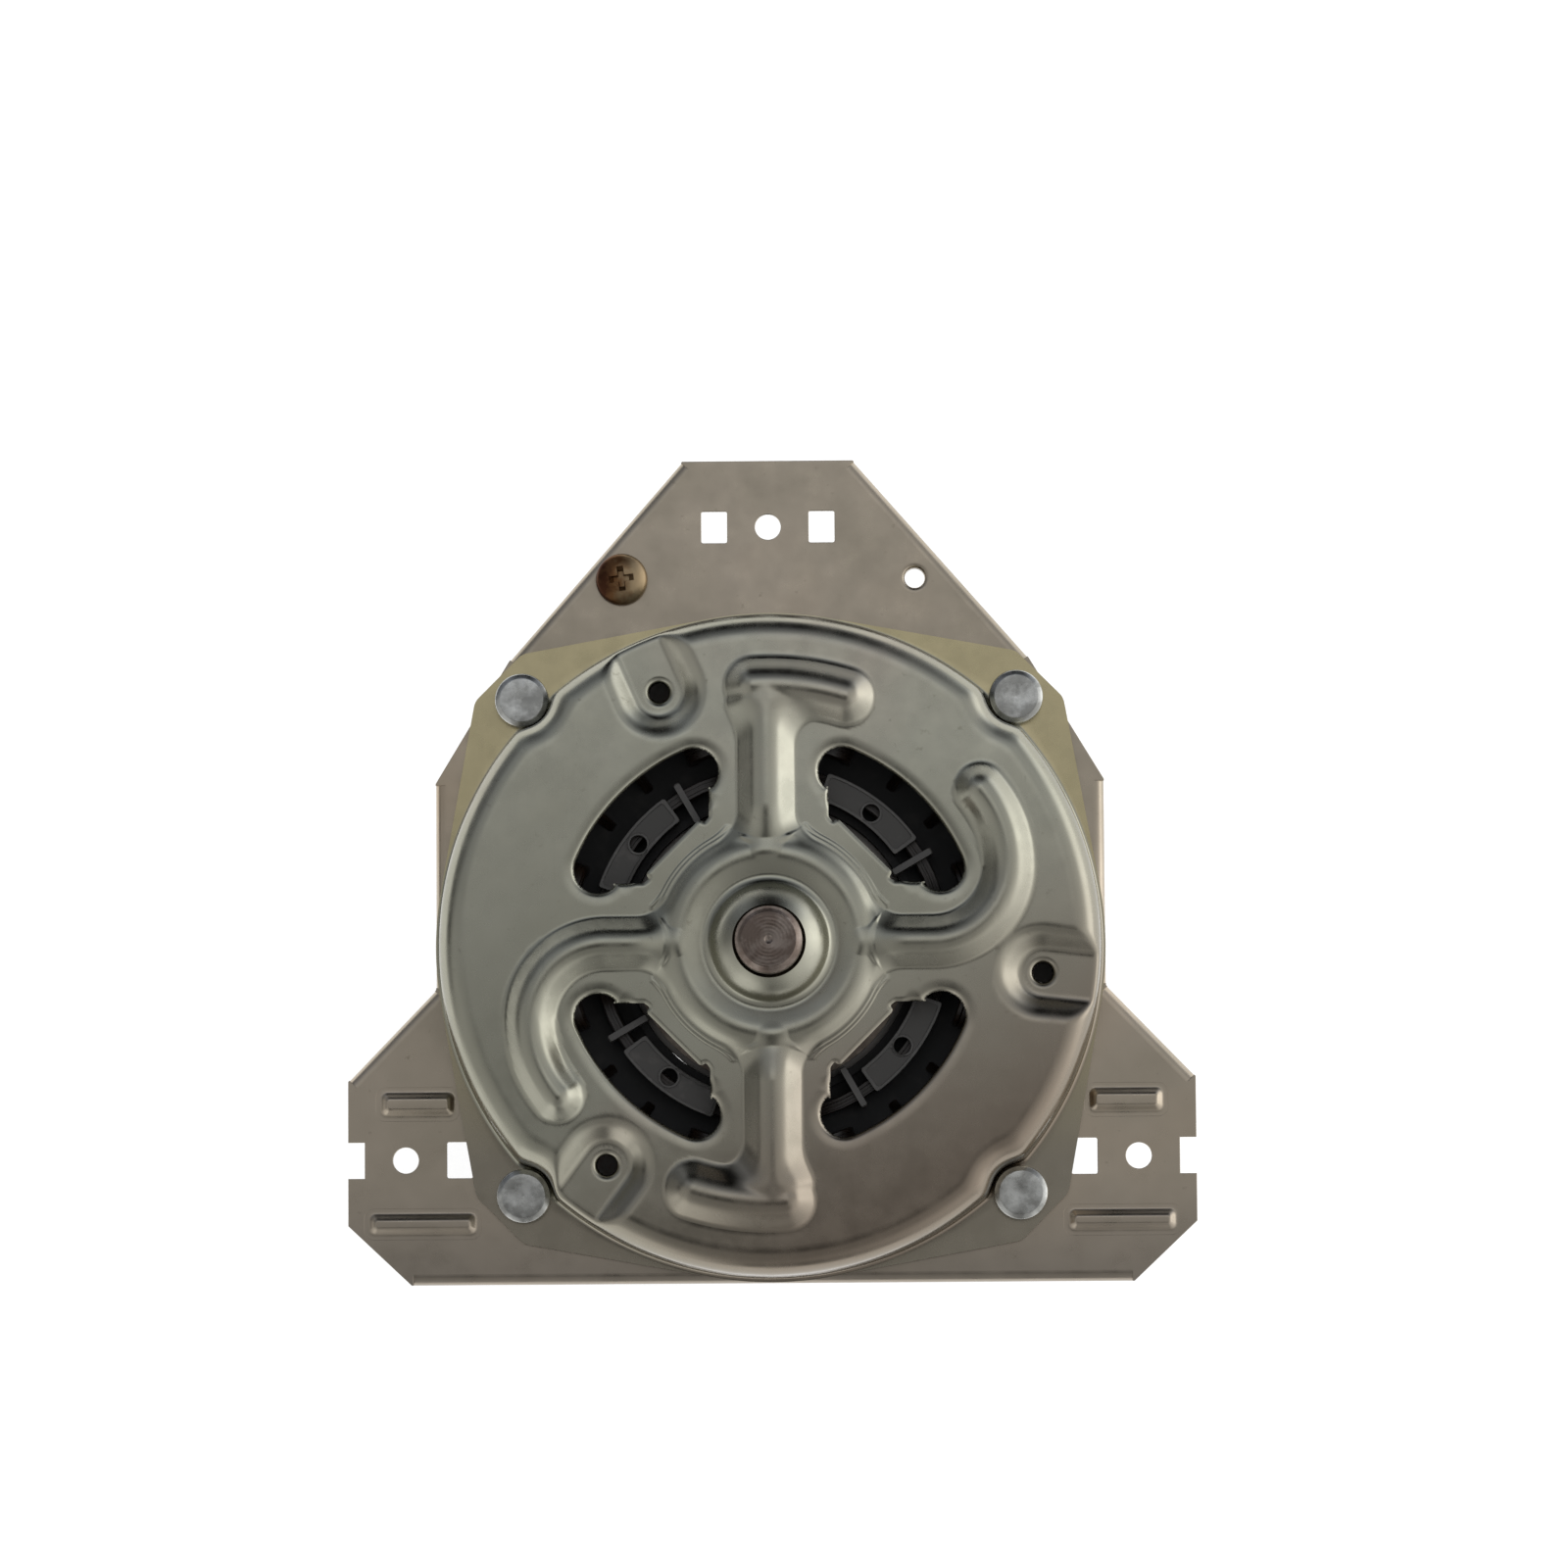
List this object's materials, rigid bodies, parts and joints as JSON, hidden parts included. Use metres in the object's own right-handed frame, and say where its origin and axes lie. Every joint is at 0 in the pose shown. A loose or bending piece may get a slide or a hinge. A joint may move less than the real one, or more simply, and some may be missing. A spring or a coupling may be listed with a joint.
{
  "type": "washing machine motor",
  "caption": "Square induction motor with ribbed pressed end caps, through-bolted under a triangular mounting plate; turns a washing machine's drive pulley.",
  "frame": {"origin": "centre of the circle through the three mounting holes, on the plate's upper face, which is also on the shaft's axis", "axes": "+Z along the shaft away from its drive end, +Y from the origin toward the single mounting hole, +X completes the right-handed frame"},
  "size_m": [0.1794, 0.1747, 0.1296],
  "materials": {
    "plate_steel": "rolled, thin zinc coat, brownish",
    "cap_steel": "pressed, thin zinc coat, olive-grey",
    "black_rubber": "matte",
    "sintered_bronze": "porous, oiled",
    "oil_felt": "felt",
    "lamination_steel": "stacked sheet edges, lacquered",
    "black_plastic": "moulded",
    "enamelled_wire": "enamelled copper wire, varnished",
    "fibre_sheet": "pressed fibre",
    "turned_steel": "turned and ground",
    "cast_aluminium": "die cast",
    "spring_steel": "blackened",
    "zinc_plated_steel": "bright zinc"
  },
  "bodies": {
    "motor_frame": {"mounting_plate": "plate_steel", "upper_end_cap": "cap_steel", "lower_end_cap": "cap_steel", "lead_grommet": "black_rubber", "upper_bearing_bush": "sintered_bronze", "lower_bearing_bush": "sintered_bronze", "upper_bearing_retainer": "cap_steel", "lower_bearing_retainer": "cap_steel", "upper_oil_felt": "oil_felt", "lower_oil_felt": "oil_felt", "stator_core": "lamination_steel", "upper_slot_insulator": "black_plastic", "lower_slot_insulator": "black_plastic", "main_windings": "enamelled_wire", "auxiliary_windings": "enamelled_wire", "slot_wedges": "fibre_sheet", "thermal_cutout": "black_plastic", "through_bolts": "zinc_plated_steel", "spring_washers": "spring_steel", "hex_nuts": "zinc_plated_steel", "earth_screw": "zinc_plated_steel"},
    "rotor": {"rotor_shaft": "turned_steel", "rotor_core": "lamination_steel", "rotor_cage": "cast_aluminium", "shaft_circlips": "spring_steel", "thrust_washers": "fibre_sheet"}
  },
  "joints": [
    {"name": "rotor_spin", "type": "hinge", "parent": "motor_frame", "child": "rotor", "pos_m": [0, 0, 0], "axis": [0, 0, 1], "continuous": true}
  ]
}
